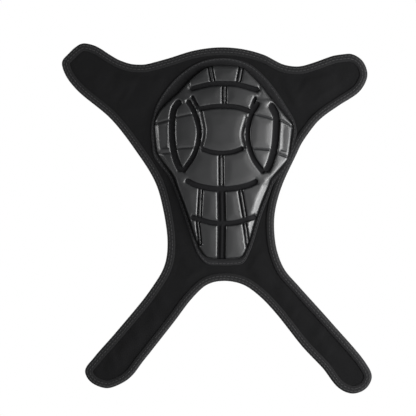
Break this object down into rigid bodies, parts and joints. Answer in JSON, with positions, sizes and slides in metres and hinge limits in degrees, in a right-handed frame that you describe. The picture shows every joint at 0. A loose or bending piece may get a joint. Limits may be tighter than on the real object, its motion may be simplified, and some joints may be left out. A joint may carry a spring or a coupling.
{
  "type": "wrap-round joint guard",
  "caption": "X-shaped padded sleeve with a domed, grooved shield in the middle and four flexible arms that wrap round a joint and fasten by hook and loop.",
  "frame": {"origin": "the middle of the box of the underside, level with the binding and the hook patches", "axes": "+X across the guard, to the right as seen from the shield's side; +Y up it, from the lower strap ends to the upper arm tips; +Z out of the shield"},
  "size_m": [0.2442, 0.276, 0.0136],
  "materials": {
    "loop_cloth": "brushed loop-faced knit, matt black",
    "binding_tape": "fine-ribbed stretch binding, black",
    "window_facing": "smooth knit facing, black",
    "lining_cloth": "plain knit, black",
    "foam_rubber": "closed-cell foam rubber",
    "shield_foam": "closed-cell foam, firm",
    "moulded_shell": "moulded, satin gloss, black",
    "hook_tape": "woven hook tape, black"
  },
  "bodies": {
    "core": {"core_lining": "lining_cloth", "core_foam": "foam_rubber", "core_cover": "loop_cloth", "window_facing_upper": "window_facing", "top_edge_binding": "binding_tape", "left_side_binding": "binding_tape", "right_side_binding": "binding_tape", "shield_upper": "moulded_shell", "shield_foam_upper": "shield_foam"},
    "lower_core": {"lower_core_lining": "lining_cloth", "lower_core_foam": "foam_rubber", "lower_core_cover": "loop_cloth", "window_facing_lower": "window_facing", "crotch_binding": "binding_tape", "left_waist_binding": "binding_tape", "right_waist_binding": "binding_tape", "shield_lower": "moulded_shell", "shield_foam_lower": "shield_foam"},
    "upper_left_arm": {"upper_left_arm_lining": "lining_cloth", "upper_left_arm_foam": "foam_rubber", "upper_left_arm_cover": "loop_cloth", "upper_left_arm_top_binding": "binding_tape", "upper_left_arm_bottom_binding": "binding_tape"},
    "upper_left_tip": {"upper_left_tip_lining": "lining_cloth", "upper_left_tip_foam": "foam_rubber", "upper_left_tip_cover": "loop_cloth", "upper_left_tip_binding": "binding_tape", "upper_hook_patch": "hook_tape"},
    "upper_right_arm": {"upper_right_arm_lining": "lining_cloth", "upper_right_arm_foam": "foam_rubber", "upper_right_arm_cover": "loop_cloth", "upper_right_arm_top_binding": "binding_tape", "upper_right_arm_bottom_binding": "binding_tape"},
    "upper_right_tip": {"upper_right_tip_lining": "lining_cloth", "upper_right_tip_foam": "foam_rubber", "upper_right_tip_cover": "loop_cloth", "upper_right_tip_binding": "binding_tape"},
    "lower_left_strap": {"lower_left_strap_lining": "lining_cloth", "lower_left_strap_foam": "foam_rubber", "lower_left_strap_cover": "loop_cloth", "lower_left_strap_top_binding": "binding_tape", "lower_left_strap_bottom_binding": "binding_tape"},
    "lower_left_end": {"lower_left_end_lining": "lining_cloth", "lower_left_end_foam": "foam_rubber", "lower_left_end_cover": "loop_cloth", "lower_left_end_binding": "binding_tape", "lower_hook_patch": "hook_tape"},
    "lower_right_strap": {"lower_right_strap_lining": "lining_cloth", "lower_right_strap_foam": "foam_rubber", "lower_right_strap_cover": "loop_cloth", "lower_right_strap_top_binding": "binding_tape", "lower_right_strap_bottom_binding": "binding_tape"},
    "lower_right_end": {"lower_right_end_lining": "lining_cloth", "lower_right_end_foam": "foam_rubber", "lower_right_end_cover": "loop_cloth", "lower_right_end_binding": "binding_tape"}
  },
  "joints": [
    {"name": "sleeve_bend", "type": "hinge", "parent": "core", "child": "lower_core", "pos_m": [0.0049, 0.0258, 0.0029], "axis": [1, 0, 0], "range_deg": [0, 35], "stiffness_Nm_per_rad": 0.004},
    {"name": "upper_left_arm_bend", "type": "hinge", "parent": "core", "child": "upper_left_arm", "pos_m": [-0.0621, 0.09, 0.0029], "axis": [0, -1, 0], "range_deg": [-75, 75], "stiffness_Nm_per_rad": 0.004},
    {"name": "upper_left_tip_bend", "type": "hinge", "parent": "upper_left_arm", "child": "upper_left_tip", "pos_m": [-0.0911, 0.09, 0.0029], "axis": [0, -1, 0], "range_deg": [-75, 75], "stiffness_Nm_per_rad": 0.004},
    {"name": "upper_right_arm_bend", "type": "hinge", "parent": "core", "child": "upper_right_arm", "pos_m": [0.0719, 0.09, 0.0029], "axis": [0, 1, 0], "range_deg": [-75, 75], "stiffness_Nm_per_rad": 0.004},
    {"name": "upper_right_tip_bend", "type": "hinge", "parent": "upper_right_arm", "child": "upper_right_tip", "pos_m": [0.1009, 0.09, 0.0029], "axis": [0, 1, 0], "range_deg": [-75, 75], "stiffness_Nm_per_rad": 0.004},
    {"name": "lower_left_strap_bend", "type": "hinge", "parent": "lower_core", "child": "lower_left_strap", "pos_m": [-0.0501, -0.08, 0.0029], "axis": [0, -1, 0], "range_deg": [-75, 75], "stiffness_Nm_per_rad": 0.004},
    {"name": "lower_left_end_bend", "type": "hinge", "parent": "lower_left_strap", "child": "lower_left_end", "pos_m": [-0.0791, -0.08, 0.0029], "axis": [0, -1, 0], "range_deg": [-75, 75], "stiffness_Nm_per_rad": 0.004},
    {"name": "lower_right_strap_bend", "type": "hinge", "parent": "lower_core", "child": "lower_right_strap", "pos_m": [0.0599, -0.08, 0.0029], "axis": [0, 1, 0], "range_deg": [-75, 75], "stiffness_Nm_per_rad": 0.004},
    {"name": "lower_right_end_bend", "type": "hinge", "parent": "lower_right_strap", "child": "lower_right_end", "pos_m": [0.0889, -0.08, 0.0029], "axis": [0, 1, 0], "range_deg": [-75, 75], "stiffness_Nm_per_rad": 0.004}
  ],
  "couplings": [
    {"joint": "upper_left_tip_bend", "follows": "upper_left_arm_bend", "ratio": 1},
    {"joint": "upper_right_tip_bend", "follows": "upper_right_arm_bend", "ratio": 1},
    {"joint": "lower_left_end_bend", "follows": "lower_left_strap_bend", "ratio": 1},
    {"joint": "lower_right_end_bend", "follows": "lower_right_strap_bend", "ratio": 1}
  ]
}
